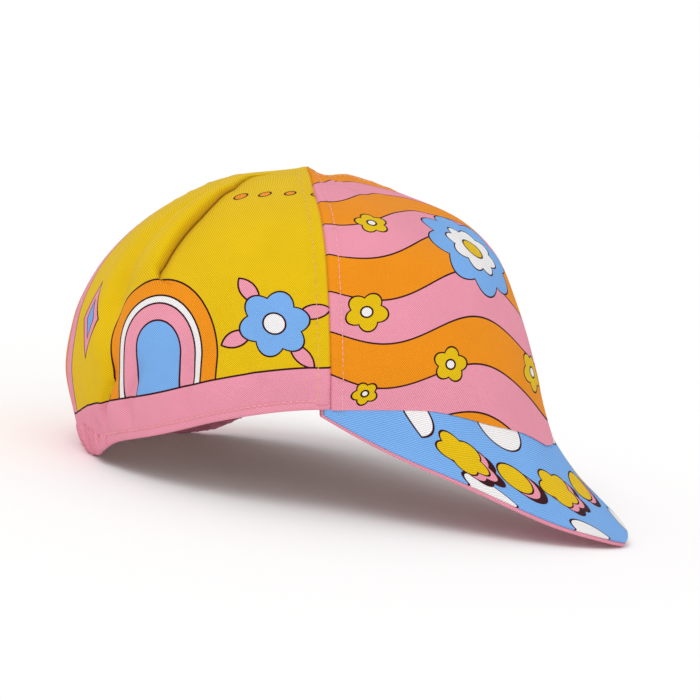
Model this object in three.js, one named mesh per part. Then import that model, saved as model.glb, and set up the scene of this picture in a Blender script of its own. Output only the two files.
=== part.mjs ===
import * as THREE from 'three';

// A one-size cycling cap for a head about 57 to 58 cm round, in millimetres.
// The peak points to -Y, up is +Z and the wearer's left is +X. Sizes are taken in the worn pose,
// with the hem about level. The finished cap is then tipped until it rests by itself on the lower
// edge of the peak and on the casing at the back.
//
// An angle is counted round the head from the middle of the front (0) to the middle of the back
// (180), plus on the wearer's left and minus on the right. The way up is 0 at the hem and 1 at the
// point where the panels meet.

const crown = {
  hemForward: 98.8,
  hemBackward: 85.5,
  hemHalfWidth: 77,
  frontNarrowingShare: 0.2,
  backNarrowingShare: 0.02,
  height: 110.2,
  apexForward: 0.9,
  turnPower: 1.5,
  cloth: 1.2,
  seamAngle: 64,
  seamGap: 0.3,
};

const hemStrip = { tall: 4, proud: 0.5, thick: 2 };

const casing = {
  fromAngle: 128,
  fullAngle: 144,
  tall: 12,
  proud: 0.8,
  thick: 3,
  gatherAngle: 6,
  gatherDepth: 0.7,
  endGapAngle: 0.12,
};

const peak = {
  length: 54.2,
  cornerLength: 1.5,
  rootAngle: 65,
  crescentPower: 1.55,
  crescentRoot: 0.95,
  fanAngle: 15,
  droopAngle: 48,
  cornerDroopAngle: 83,
  bow: -3,
  rootDrop: 0.6,
  top: 1.1,
  gap: 0.3,
  under: 1.5,
  underEdge: 0.5,
};

const rest = { press: 1.6, mostTipAngle: 25 };

// Height of the hem in the worn pose: angle, share of the crown's height.
const hemHeights = [
  [0, 0.104],
  [20, 0.13],
  [45, 0.199],
  [66, 0.205],
  [110, 0.09],
  [132, 0.038],
  [152, -0.021],
  [180, 0.013],
];

// How the crown closes in: way up, share of the height, then how much of the hem's reach is left
// at the front, the sides and the back.
const profile = [
  [0, 0, 1, 1, 1],
  [0.125, 0.14, 0.98, 1.03, 1.045],
  [0.25, 0.3, 0.938, 1.02, 1.09],
  [0.375, 0.46, 0.881, 0.99, 1.055],
  [0.5, 0.62, 0.812, 0.915, 0.956],
  [0.625, 0.76, 0.662, 0.79, 0.8],
  [0.75, 0.87, 0.387, 0.593, 0.597],
  [0.875, 0.95, 0.099, 0.297, 0.36],
  [1, 1, 0, 0, 0],
];

// Folds of the soft back panels: angle and way up where the fold starts, where it ends, its half
// width in degrees, and the share of fold.depth that it stands out (plus) or sinks in (minus).
const fold = { depth: 4, endFadeShare: 0.06, apexFadeFromWay: 0.86, apexFadeToWay: 0.99 };
const folds = [
  [-109.5, 0.46, -109.5, 0.78, 4.5, -1],
  [-117, 0.5, -114.5, 0.76, 4.5, 0.7],
  [-124, 0.4, -127, 0.62, 4, -0.4],
  [118, 0.4, 116, 0.8, 6, -0.75],
  [107, 0.42, 104, 0.7, 6, 0.4],
  [138, 0.45, 131, 0.75, 5, -0.4],
];

// The back panels are gathered where the casing draws them in.
const gathers = {
  eachAngle: 12,
  depth: 0.9,
  fromAngle: 112,
  fullAngle: 130,
  fadeFromWay: 0.06,
  fadeToWay: 0.3,
};

const grid = {
  frontColumns: 26,
  backColumns: 34,
  rows: 16,
  hemColumns: 18,
  casingColumns: 44,
  peakColumns: 28,
  peakRows: 6,
};

const radians = (degrees) => (degrees * Math.PI) / 180;
const clamp = (value, low, high) => Math.min(Math.max(value, low), high);
const wave = (angle, period) => Math.cos((2 * Math.PI * (angle - 180)) / period);
const signed = (angle) => (angle > 180 ? angle - 360 : angle);
const fromFront = (angle) => Math.abs(signed(angle));
const blend = (a, b, share) => a + (b - a) * share;
const smooth = (value, low, high) => {
  const share = clamp((value - low) / (high - low), 0, 1);
  return share * share * (3 - 2 * share);
};

// A smooth curve through one column of a table whose first column rises.
function follow(rows, column, at) {
  const last = rows.length - 1;
  const secant = (i) => (rows[i + 1][column] - rows[i][column]) / (rows[i + 1][0] - rows[i][0]);
  const slope = (i) => {
    if (i === 0) return secant(0);
    if (i === last) return secant(last - 1);
    const before = secant(i - 1);
    const after = secant(i);
    return before * after <= 0 ? 0 : (2 * before * after) / (before + after);
  };
  const x = clamp(at, rows[0][0], rows[last][0]);
  let i = 0;
  while (i < last - 1 && x > rows[i + 1][0]) i += 1;
  const width = rows[i + 1][0] - rows[i][0];
  const t = (x - rows[i][0]) / width;
  const rise = rows[i + 1][column] - rows[i][column];
  return (
    rows[i][column] +
    rise * t * t * (3 - 2 * t) +
    slope(i) * width * t * (1 - t) * (1 - t) -
    slope(i + 1) * width * t * t * (1 - t)
  );
}

// The hem line. The forward direction is kept apart from y until the cap is tipped.
function hemPoint(angle) {
  const turn = radians(angle);
  const cos = Math.cos(turn);
  const ahead = cos > 0;
  const narrowing = ahead ? crown.frontNarrowingShare : crown.backNarrowingShare;
  return new THREE.Vector3(
    Math.sin(turn) * crown.hemHalfWidth * (1 - narrowing * cos * cos),
    cos * (ahead ? crown.hemForward : crown.hemBackward),
    crown.height * follow(hemHeights, 1, fromFront(angle)),
  );
}

function smoothCrown(angle, way) {
  const hem = hemPoint(angle);
  const cos = Math.cos(radians(angle));
  const front = Math.max(cos, 0) ** crown.turnPower;
  const back = Math.max(-cos, 0) ** crown.turnPower;
  const side = 1 - front - back;
  const reach =
    front * follow(profile, 2, way) + side * follow(profile, 3, way) + back * follow(profile, 4, way);
  return new THREE.Vector3(
    hem.x * reach,
    crown.apexForward + (hem.y - crown.apexForward) * reach,
    blend(hem.z, crown.height, follow(profile, 1, way)),
  );
}

// The outward direction of a surface, from two short steps across it. It is upright at the apex.
function outward(surface, angle, way) {
  const angleStep = 0.4;
  const wayStep = 0.004;
  if (way > 1 - wayStep / 4) return new THREE.Vector3(0, 0, 1);
  const across = surface(angle + angleStep, way).sub(surface(angle - angleStep, way));
  const above = surface(angle, Math.min(way + wayStep, 1));
  const below = surface(angle, Math.max(way - wayStep, 0));
  return above.sub(below).cross(across).normalize();
}

function foldRelief(angle, way) {
  let relief = 0;
  for (const [startAngle, startWay, endAngle, endWay, halfWidth, share] of folds) {
    const along = clamp((way - startWay) / (endWay - startWay), 0, 1);
    const off = (signed(angle) - blend(startAngle, endAngle, along)) / halfWidth;
    const beyond = (way - blend(startWay, endWay, along)) / fold.endFadeShare;
    relief += share * fold.depth * Math.exp(-off * off - beyond * beyond);
  }
  relief *= 1 - smooth(way, fold.apexFadeFromWay, fold.apexFadeToWay);
  const gathered = smooth(fromFront(angle), gathers.fromAngle, gathers.fullAngle);
  const fading = 1 - smooth(way, gathers.fadeFromWay, gathers.fadeToWay);
  return relief + gathers.depth * gathered * fading * wave(angle, gathers.eachAngle);
}

function crownPoint(angle, way) {
  const point = smoothCrown(angle, way);
  return point.addScaledVector(outward(smoothCrown, angle, way), foldRelief(angle, way));
}

const crownNormal = (angle, way) => outward(crownPoint, angle, way);

// The way up at which the crown stands a stated height above the hem.
function wayAtHeight(angle, height) {
  const share = height / (crown.height - hemPoint(angle).z);
  let low = 0;
  let high = 1;
  for (let i = 0; i < 40; i += 1) {
    const middle = (low + high) / 2;
    if (follow(profile, 1, middle) < share) low = middle;
    else high = middle;
  }
  return (low + high) / 2;
}

function edgeHeight(angle) {
  const share = smooth(fromFront(angle), casing.fromAngle, casing.fullAngle);
  return blend(hemStrip.tall, casing.tall, share);
}

// A closed body between two faces, 0 and 1, each a grid of points over shares from 0 to 1.
function slab(columns, rows, pointAt) {
  const corners = [];
  const index = new Map();
  const triangles = [];
  const corner = (i, j, face) => {
    const key = (face * (rows + 1) + j) * (columns + 1) + i;
    if (!index.has(key)) {
      index.set(key, corners.length);
      corners.push(pointAt(i / columns, j / rows, face));
    }
    return index.get(key);
  };
  const triangle = (a, b, c) => {
    const [p, q, r] = [corners[a], corners[b], corners[c]];
    const tiny = 1e-5;
    if (p.distanceTo(q) < tiny || q.distanceTo(r) < tiny || r.distanceTo(p) < tiny) return;
    triangles.push(a, b, c);
  };
  const quad = (a, b, c, d) => {
    triangle(a, b, c);
    triangle(a, c, d);
  };
  for (let i = 0; i < columns; i += 1) {
    for (let j = 0; j < rows; j += 1) {
      quad(corner(i, j, 0), corner(i + 1, j, 0), corner(i + 1, j + 1, 0), corner(i, j + 1, 0));
      quad(corner(i, j, 1), corner(i, j + 1, 1), corner(i + 1, j + 1, 1), corner(i + 1, j, 1));
    }
    quad(corner(i, 0, 1), corner(i + 1, 0, 1), corner(i + 1, 0, 0), corner(i, 0, 0));
    quad(corner(i, rows, 0), corner(i + 1, rows, 0), corner(i + 1, rows, 1), corner(i, rows, 1));
  }
  for (let j = 0; j < rows; j += 1) {
    quad(corner(0, j, 1), corner(0, j, 0), corner(0, j + 1, 0), corner(0, j + 1, 1));
    quad(corner(columns, j, 0), corner(columns, j, 1), corner(columns, j + 1, 1), corner(columns, j + 1, 0));
  }
  return { corners, triangles };
}

// Each panel is moved away from the apex as a whole, which opens an even gap along every seam.
function seamShift(fromAngle, toAngle) {
  const middle = radians((fromAngle + toAngle) / 2);
  const distance = crown.seamGap / 2 / Math.sin(radians((toAngle - fromAngle) / 2));
  return new THREE.Vector3(Math.sin(middle) * distance, Math.cos(middle) * distance, 0);
}

function panel(fromAngle, toAngle, columns, lowerWay) {
  const shift = seamShift(fromAngle, toAngle);
  return slab(columns, grid.rows, (u, v, face) => {
    const angle = blend(fromAngle, toAngle, u);
    const way = blend(lowerWay(angle), 1, v);
    const point = crownPoint(angle, way);
    if (face === 1) point.addScaledVector(crownNormal(angle, way), -crown.cloth);
    return point.add(shift);
  });
}

// The turned hem and the elastic casing: one section of eight corners, carried along the hem.
// Each corner is a share of the height, then from 1 on the outside to -1 on the inside.
const sectionCorners = [
  [0, 0.35],
  [0.06, 0.9],
  [0.5, 1],
  [0.94, 0.9],
  [1, 0.35],
  [0.94, -0.6],
  [0.5, -1],
  [0.06, -0.6],
];

function edging(fromAngle, toAngle, columns, shape, shift, relief) {
  const corners = [];
  const triangles = [];
  const count = sectionCorners.length;
  for (let i = 0; i <= columns; i += 1) {
    const angle = blend(fromAngle, toAngle, i / columns);
    const tall = edgeHeight(angle);
    for (const [up, out] of sectionCorners) {
      const way = wayAtHeight(angle, tall * up);
      const normal = crownNormal(angle, way);
      const middle = shape.proud - shape.thick / 2;
      const offset = middle + (shape.thick / 2) * out + relief(angle) * Math.max(out, 0);
      corners.push(crownPoint(angle, way).addScaledVector(normal, offset).add(shift));
    }
  }
  for (let i = 0; i < columns; i += 1) {
    for (let k = 0; k < count; k += 1) {
      const next = (k + 1) % count;
      const [a, b] = [i * count + k, i * count + next];
      const [c, d] = [(i + 1) * count + next, (i + 1) * count + k];
      triangles.push(a, c, b, a, d, c);
    }
  }
  for (let k = 1; k < count - 1; k += 1) {
    const end = columns * count;
    triangles.push(0, k, k + 1);
    triangles.push(end, end + k + 1, end + k);
  }
  return { corners, triangles };
}

function peakDirections(u) {
  const turn = radians(u * peak.fanAngle);
  const droop = radians(blend(peak.droopAngle, peak.cornerDroopAngle, u * u));
  return {
    droop,
    along: new THREE.Vector3(
      Math.cos(droop) * Math.sin(turn),
      Math.cos(droop) * Math.cos(turn),
      -Math.sin(droop),
    ),
    above: new THREE.Vector3(
      Math.sin(droop) * Math.sin(turn),
      Math.sin(droop) * Math.cos(turn),
      Math.cos(droop),
    ),
  };
}

function peakLength(u) {
  const share = Math.max(1 - Math.abs(u) ** peak.crescentPower, 0) ** (1 / peak.crescentRoot);
  return blend(peak.cornerLength, peak.length, share);
}

// A point of the peak at u across (-1 to 1), w from root to edge, and a depth beneath its top.
function peakPoint(u, w, depth, extra) {
  const { droop, along, above } = peakDirections(u);
  const length = peakLength(u);
  const tuck = depth / Math.tan(droop);
  const travel = blend(-tuck, length + extra, w);
  const across = clamp(travel / length, 0, 1);
  const bow = peak.bow * 4 * across * (1 - across) * (length / peak.length);
  const root = hemPoint(u * peak.rootAngle);
  root.z -= peak.rootDrop;
  return root.addScaledVector(along, travel).addScaledVector(above, bow - depth);
}

// One layer of the peak. Its columns stand closer together towards the corners.
function peakLayer(topDepth, thickness, extra) {
  const columnCrowding = 0.6;
  return slab(grid.peakColumns, grid.peakRows, (i, w, face) => {
    const u = Math.sin(radians(90 * (2 * i - 1)));
    return peakPoint(blend(2 * i - 1, u, columnCrowding), 1 - w, topDepth + face * thickness, extra);
  });
}

const seam = crown.seamAngle;
const rightShift = seamShift(-180, -seam);
const leftShift = seamShift(seam, 180);
const smoothEdge = () => 0;
const gatheredEdge = (angle) => casing.gatherDepth * wave(angle, casing.gatherAngle);
const aboveEdge = (angle) => wayAtHeight(angle, edgeHeight(angle) + crown.seamGap);
const underDepth = peak.top + peak.gap;
const casingEnd = casing.fromAngle;
const hemEnd = casing.fromAngle - casing.endGapAngle;
const noShift = new THREE.Vector3();

const pieces = {
  front_panel: panel(-seam, seam, grid.frontColumns, () => 0),
  back_panel_right: panel(-180, -seam, grid.backColumns, aboveEdge),
  back_panel_left: panel(seam, 180, grid.backColumns, aboveEdge),
  hem_right: edging(-hemEnd, -seam, grid.hemColumns, hemStrip, rightShift, smoothEdge),
  hem_left: edging(seam, hemEnd, grid.hemColumns, hemStrip, leftShift, smoothEdge),
  elastic_band: edging(casingEnd, 360 - casingEnd, grid.casingColumns, casing, noShift, gatheredEdge),
  peak_top: peakLayer(0, peak.top, 0),
  peak_under: peakLayer(underDepth, peak.under, peak.underEdge),
};

// Tips the cap about the X axis until the peak just touches the surface while the casing at the
// back is pressed onto it by rest.press. What reaches beneath the surface there is flattened.
const peakPieces = ['peak_top', 'peak_under'];
const lowest = (names, tip) => {
  let low = Infinity;
  for (const name of names) {
    for (const p of pieces[name].corners) low = Math.min(low, p.z * Math.cos(tip) + p.y * Math.sin(tip));
  }
  return low;
};

function findTip() {
  let [low, high] = [0, radians(rest.mostTipAngle)];
  for (let i = 0; i < 50; i += 1) {
    const middle = (low + high) / 2;
    const lift = lowest(peakPieces, middle) - lowest(['elastic_band'], middle);
    if (lift < rest.press) low = middle;
    else high = middle;
  }
  return (low + high) / 2;
}

const tip = findTip();
const floor = lowest(peakPieces, tip);

function settle(p) {
  const forward = p.y * Math.cos(tip) - p.z * Math.sin(tip);
  const height = p.z * Math.cos(tip) + p.y * Math.sin(tip) - floor;
  return new THREE.Vector3(p.x, -forward, Math.max(height, 0));
}

const colours = {
  front_panel: 0xf08a3c,
  back_panel_right: 0xe8c21e,
  back_panel_left: 0xe8c21e,
  hem_right: 0xe896b0,
  hem_left: 0xe896b0,
  elastic_band: 0xe896b0,
  peak_top: 0x74abea,
  peak_under: 0xe896b0,
};

const cap = new THREE.Group();
cap.name = 'cycling_cap';
const bounds = new THREE.Box3();
for (const piece of Object.values(pieces)) {
  piece.corners = piece.corners.map(settle);
  piece.corners.forEach((p) => bounds.expandByPoint(p));
}
const middleY = (bounds.min.y + bounds.max.y) / 2;
for (const [name, { corners, triangles }] of Object.entries(pieces)) {
  const geometry = new THREE.BufferGeometry();
  const positions = corners.flatMap((p) => [p.x, p.y - middleY, p.z]);
  geometry.setAttribute('position', new THREE.Float32BufferAttribute(positions, 3));
  geometry.setIndex(triangles);
  geometry.computeVertexNormals();
  const material = new THREE.MeshStandardMaterial({ color: colours[name], roughness: 0.9, metalness: 0 });
  const mesh = new THREE.Mesh(geometry, material);
  mesh.name = name;
  cap.add(mesh);
}

export default cap;
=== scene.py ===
# %% [markdown]
# A cycling cap is a few pieces of thin cotton twill: a large front panel, two back panels, a
# narrow turned hem, a gathered casing round the back and a short peak with a stiff core. This
# lesson makes each piece as a fine mesh in the place of the plain solid that carries it, prints
# a pattern on the cloth with shader nodes, and sews the seams with Geometry Nodes. We start by
# loading the plain solids as a fixed frame, and keep their outline to compare with at the end.

# %% Load the frame
import math

import bmesh
import bpy
import numpy as np
from mathutils import Matrix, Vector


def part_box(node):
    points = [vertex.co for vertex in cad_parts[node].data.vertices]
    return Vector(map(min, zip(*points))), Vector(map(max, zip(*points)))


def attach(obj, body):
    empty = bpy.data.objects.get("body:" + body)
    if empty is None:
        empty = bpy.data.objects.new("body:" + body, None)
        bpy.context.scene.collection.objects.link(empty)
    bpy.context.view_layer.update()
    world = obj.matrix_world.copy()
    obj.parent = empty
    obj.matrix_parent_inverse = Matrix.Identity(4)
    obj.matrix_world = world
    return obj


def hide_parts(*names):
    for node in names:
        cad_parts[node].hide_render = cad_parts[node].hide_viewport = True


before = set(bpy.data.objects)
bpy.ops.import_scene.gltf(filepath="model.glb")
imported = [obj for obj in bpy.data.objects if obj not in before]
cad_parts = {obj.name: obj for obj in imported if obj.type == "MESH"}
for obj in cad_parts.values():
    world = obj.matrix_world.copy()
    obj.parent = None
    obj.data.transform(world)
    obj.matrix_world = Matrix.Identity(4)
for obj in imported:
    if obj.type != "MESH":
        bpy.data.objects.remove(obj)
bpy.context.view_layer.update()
MM = 0.001
print("solid nodes:", sorted(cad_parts))

# %% [markdown]
# The cap's sizes are those of the solids, in millimetres. Only the hem and the casing are drawn a
# little slimmer, because their stitches, pleats and tucked lower edge are real shapes here. An
# angle is counted round the head from the middle of the front (0) to the middle of the back (180),
# minus on the wearer's right, and the way up is 0 at the hem and 1 at the apex. Short tables hold
# the shape: a row for each height of the crown and for each angle of the hem. Lengths in them are
# shares of the sizes. Halving an interval a fixed number of times solves what has no formula.

# %% Sizes of the cap
CROWN = dict(forward=98.8, backward=85.5, half_width=77, front_narrowing=0.2, back_narrowing=0.02,
             height=110.2, apex_forward=0.9, turn_power=1.5)
SEAM_ANGLE = 64
WALL = 1.2
HEM = dict(tall=3.4, proud=0.3, thick=2.0)
CASING = dict(start=128, full=144, tall=12.0, proud=0.8, drawn_proud=0.35, thick=3.0, tuck_in=2.0,
              pleat=5.0, depth=0.75)
PEAK = dict(length=54.2, corner=1.5, root_angle=65, power=1.55, root_power=0.95, fan=15,
            droop=48, corner_droop=83, bow=-3.0, root_drop=0.6, top=1.1, gap=0.3, under=1.5,
            under_edge=0.5)
PRESS = 1.6
HALVINGS = 40

# angle from the front, share of the crown's height
HEM_HEIGHTS = [(0, 0.104), (20, 0.13), (45, 0.199), (66, 0.205), (110, 0.09), (132, 0.038),
               (152, -0.021), (180, 0.013)]

# way up, share of the height, then the share of the hem's reach at front, sides and back
PROFILE = [
    (0, 0, 1, 1, 1),
    (0.125, 0.14, 0.98, 1.03, 1.045),
    (0.25, 0.3, 0.938, 1.02, 1.09),
    (0.375, 0.46, 0.881, 0.99, 1.055),
    (0.5, 0.62, 0.812, 0.915, 0.956),
    (0.625, 0.76, 0.662, 0.79, 0.8),
    (0.75, 0.87, 0.387, 0.593, 0.597),
    (0.875, 0.95, 0.099, 0.297, 0.36),
    (1, 1, 0, 0, 0),
]


def blend(a, b, share):
    return a + (b - a) * share


def smooth(value, low, high):
    share = np.clip((value - low) / (high - low), 0, 1)
    return share * share * (3 - 2 * share)


def follow(rows, column, at):
    """A smooth curve through one column of a table whose first column rises."""
    rows = np.array(rows, float)
    x, y = rows[:, 0], rows[:, column]
    width, rise = np.diff(x), np.diff(y)
    secant = rise / width
    before, after = secant[:-1], secant[1:]
    same_way = before * after > 0
    slope = np.concatenate([secant[:1], np.zeros(len(x) - 2), secant[-1:]])
    total = np.where(same_way, before + after, 1)
    slope[1:-1] = np.where(same_way, 2 * before * after / total, 0)
    at = np.clip(at, x[0], x[-1])
    i = np.clip(np.searchsorted(x, at, side="right") - 1, 0, len(x) - 2)
    t = (at - x[i]) / width[i]
    leaving = slope[i] * width[i] * t * (1 - t) ** 2
    arriving = slope[i + 1] * width[i] * t * t * (1 - t)
    return y[i] + rise[i] * t * t * (3 - 2 * t) + leaving - arriving


print("rows in the crown's table:", len(PROFILE), "and in the hem's:", len(HEM_HEIGHTS))

# %% [markdown]
# The crown is one smooth surface, found from an angle and a way up. Places are first worked out
# in the worn pose as (left, forward, up), with the hem about level. Its outward direction comes
# from two short steps across it, which is how a modelling program finds a normal too.

# %% The smooth crown
def signed(angle):
    return np.where(angle > 180, angle - 360, angle)


def hem_point(angle):
    turn = np.radians(angle)
    cos = np.cos(turn)
    ahead = cos > 0
    narrowing = np.where(ahead, CROWN["front_narrowing"], CROWN["back_narrowing"])
    left = np.sin(turn) * CROWN["half_width"] * (1 - narrowing * cos * cos)
    forward = cos * np.where(ahead, CROWN["forward"], CROWN["backward"])
    up = CROWN["height"] * follow(HEM_HEIGHTS, 1, np.abs(signed(angle)))
    return np.stack([left, forward, up], -1)


def smooth_crown(angle, way):
    angle, way = np.broadcast_arrays(np.asarray(angle, float), np.asarray(way, float))
    hem = hem_point(angle)
    cos = np.cos(np.radians(angle))
    front = np.clip(cos, 0, 1) ** CROWN["turn_power"]
    back = np.clip(-cos, 0, 1) ** CROWN["turn_power"]
    side = 1 - front - back
    reach = front * follow(PROFILE, 2, way) + side * follow(PROFILE, 3, way)
    reach = reach + back * follow(PROFILE, 4, way)
    apex = CROWN["apex_forward"]
    return np.stack([
        hem[..., 0] * reach,
        apex + (hem[..., 1] - apex) * reach,
        blend(hem[..., 2], CROWN["height"], follow(PROFILE, 1, way)),
    ], -1)


def unit(vectors):
    length = np.linalg.norm(vectors, axis=-1, keepdims=True)
    return vectors / np.maximum(length, 1e-9)


def outward(angle, way):
    """Outward in (left, forward, up); upright at the apex."""
    angle_step, way_step = 0.4, 0.004
    across = smooth_crown(angle + angle_step, way) - smooth_crown(angle - angle_step, way)
    above = smooth_crown(angle, np.minimum(way + way_step, 1))
    below = smooth_crown(angle, np.maximum(way - way_step, 0))
    normal = unit(np.cross(above - below, across))
    near_apex = (way > 1 - way_step / 4)[..., None]
    return np.where(near_apex, np.array([0.0, 0.0, 1.0]), normal)


def way_at_height(angle, height):
    """The way up at which the crown stands a stated height above the hem."""
    share = height / (CROWN["height"] - hem_point(angle)[..., 2])
    low, high = np.zeros_like(share), np.ones_like(share)
    for _ in range(HALVINGS):
        middle = (low + high) / 2
        short = follow(PROFILE, 1, middle) < share
        low, high = np.where(short, middle, low), np.where(short, high, middle)
    return (low + high) / 2


def gathered_share(angle):
    """0 along the plain hem and 1 where the casing is fully gathered."""
    return smooth(np.abs(signed(angle)), CASING["start"], CASING["full"])


def edge_height(angle):
    return blend(HEM["tall"], CASING["tall"], gathered_share(angle))


def cumulative(points, axis):
    """Millimetres walked along one direction of a grid of points."""
    steps = np.linalg.norm(np.diff(points, axis=axis), axis=-1)
    start = np.zeros_like(np.take(steps, [0], axis=axis))
    return np.concatenate([start, np.cumsum(steps, axis=axis)], axis=axis)


brow_to_apex = smooth_crown(0, np.linspace(0, 1, 200))
print("from brow to apex, over the cloth:", round(cumulative(brow_to_apex, 0)[-1], 1), "mm")

# %% [markdown]
# Soft cloth isn't smooth. The back panels fall in long folds, they are gathered where the casing
# draws them in, and the crown sinks a little about the apex. Each of these is a small height, in
# millimetres, that is added outwards to the smooth crown. Doing this in code, and not with a
# sculpt brush, keeps the folds of neighbouring panels matched across their seam. The longest fold
# of the near panel is more than a height: it is a roll that leans forward over its own crease, so
# that the crease lies in shadow.

# %% Folds and the long roll
# start angle and way, end angle and way, half width in degrees, height in millimetres
FOLDS = [
    (-112, 0.79, -136, 0.91, 7, 0.8),
    (-123.5, 0.42, -121, 0.74, 3.2, -2.0),
    (-121, 0.24, -124, 0.46, 3.2, -1.2),
    (-129, 0.30, -131, 0.62, 5, 1.5),
    (-127, 0.11, -122, 0.20, 1.6, -3.0),
    (-116, 0.11, -112, 0.20, 1.8, -1.8),
    (-98, 0.11, -96, 0.17, 2.4, -1.6),
    (-79, 0.11, -82, 0.17, 2.2, -1.3),
    (118, 0.40, 116, 0.80, 4, -3.2),
    (107, 0.42, 104, 0.70, 6, 2.0),
    (138, 0.45, 131, 0.75, 5, -1.6),
]
FOLD_END = 0.06

# way and angle of the roll's crease, from its open foot up towards the apex
ROLL_CREASE = [(0.455, -104.0), (0.475, -109.5), (0.5, -111.2), (0.59, -110.3), (0.69, -109.2),
               (0.755, -109.8), (0.82, -112.5), (0.9, -126.5)]
ROLL = dict(high=4.6, rise=1.5, reach=9.5, deep=3.4, behind=0.8, before=3.6, lean=4.6, lean_at=2.0)
ROLL_FOOT = (0.435, 0.53)
ROLL_FADE = (0.66, 0.95)


def fold_relief(angle, way):
    relief = np.zeros_like(way)
    for start, start_way, end, end_way, half_width, height in FOLDS:
        along = np.clip((way - start_way) / (end_way - start_way), 0, 1)
        off = (signed(angle) - blend(start, end, along)) / half_width
        beyond = (way - blend(start_way, end_way, along)) / FOLD_END
        relief += height * np.exp(-off ** 2 - beyond ** 2)
    return relief * (1 - smooth(way, 0.88, 0.99))


def roll_relief(angle, way):
    """A round roll of cloth over a crease: its height, and how far it leans out over it."""
    crease_way, crease_angle = np.array(ROLL_CREASE).T
    narrower_higher_up = 1.33 - 0.75 * way
    off = (signed(angle) - np.interp(way, crease_way, crease_angle)) * narrower_higher_up
    behind, before = np.clip(-off, 0, None), np.clip(off, 0, None)
    rise = 1 - np.exp(-(behind / ROLL["rise"]) ** 1.6)
    roll = ROLL["high"] * rise * np.exp(-(behind / ROLL["reach"]) ** 2)
    dip = ROLL["deep"] * np.exp(-behind / ROLL["behind"] - before / ROLL["before"])
    share = behind / ROLL["lean_at"]
    lean = ROLL["lean"] * share * np.exp(1 - share)
    strength = smooth(way, *ROLL_FOOT) * (1 - smooth(way, *ROLL_FADE))
    return (roll - dip) * strength, lean * np.sqrt(strength)


print("folds:", len(FOLDS), "and one roll,", ROLL["high"], "mm high")


# %% Gathers, slack cloth and the dip at the apex
# waves per radian, phase and height of the puckers
PUCKERS = [(30, 0, 0.55), (47, 1.3, 0.4), (71, 0.4, 0.35)]
PUCKER_HEIGHT = 0.95
PUCKER_ANGLES = (116, 136)
PUCKER_TOP = (0.03, 0.26)

# angle, half width in degrees and depth in millimetres of the deepest creases in the gathers
CREASES = [
    (-131.5, 1.5, 2.0), (-140.5, 1.3, 1.0), (-151, 1.5, 1.2), (-165, 1.4, 0.9), (131, 1.5, 1.6),
    (142, 1.3, 1.0), (159, 1.6, 1.2),
]
CREASE_TOP = (0.06, 0.15)
CREASE_SLANT = 15

# waves per radian round the head, waves up the crown, phase and share of the height
SLACK_WAVES = [(5, 9, 0, 1), (11, -7, 2, 0.6), (3, 17, 1, 0.5)]
SLACK_HEIGHT = 0.28

APEX = dict(sink=1.1, dip=2.0, dip_angle=40.0, dip_way=0.93, dip_reach=0.05)


def gather_relief(angle, way):
    """Uneven upright puckers over the casing, deepest at its top edge."""
    near_casing = smooth(np.abs(signed(angle)), *PUCKER_ANGLES)
    turn = np.radians(signed(angle)) + 0.25 * way
    wave = sum(height * np.cos(count * turn + phase) for count, phase, height in PUCKERS)
    relief = PUCKER_HEIGHT * near_casing * (1 - smooth(way, *PUCKER_TOP)) * wave
    upright = (1 - smooth(way, *CREASE_TOP)) * blend(0.45, 1, smooth(way, 0, 0.04))
    for middle, half_width, depth in CREASES:
        off = (signed(angle) - middle + CREASE_SLANT * way) / half_width
        relief = relief - depth * np.exp(-np.abs(off) ** 1.5) * upright
    return relief


def slack_relief(angle, way):
    """The slight unevenness of cloth that hangs free, about half a millimetre."""
    turn = np.radians(angle)
    waves = sum(share * np.sin(count * turn + rows * way + phase)
                for count, rows, phase, share in SLACK_WAVES)
    return SLACK_HEIGHT * waves * smooth(way, 0, 0.15) * (1 - smooth(way, 0.8, 0.97))


def apex_dip(angle, way):
    """How the crown sinks about the apex, and more ahead of it and on the wearer's left."""
    ahead = smooth(np.cos(np.radians(angle - APEX["dip_angle"])), 0.2, 0.7)
    near = np.exp(-((way - APEX["dip_way"]) / APEX["dip_reach"]) ** 2) * (1 - smooth(way, 0.96, 1))
    return -APEX["dip"] * ahead * near - APEX["sink"] * smooth(way, 0.86, 0.97)


print("deep creases in the gathers:", len(CREASES))

# %% [markdown]
# A seam joins two panels edge to edge: a low double ridge with a groove in the middle, held down
# by a row of stitches on each side. Last comes what is no height at all. The front panel's foot
# isn't sewn flat, so it sags out and down over the peak, and the apex sits a little forward.

# %% Seams, and a point of the dressed crown
SEAMS = (-SEAM_ANGLE, SEAM_ANGLE, 180)
STITCH_OFFSET = 4.5
PUCKER_TURNS = 60

# heights and depths of the relief beside a seam, and how wide each part is, in millimetres
SEAM = dict(ridge=0.45, groove=0.9, groove_width=0.45, sewn=0.3, sewn_width=0.55, pucker_width=3.0)


def seam_distance(angle, way, seam):
    """Millimetres along the cloth from a seam, level with the hem."""
    step = smooth_crown(seam + 0.5, way) - smooth_crown(seam - 0.5, way)
    per_degree = np.linalg.norm(step, axis=-1)
    turned = np.abs(signed((angle - seam) % 360))
    return turned * per_degree


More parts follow.
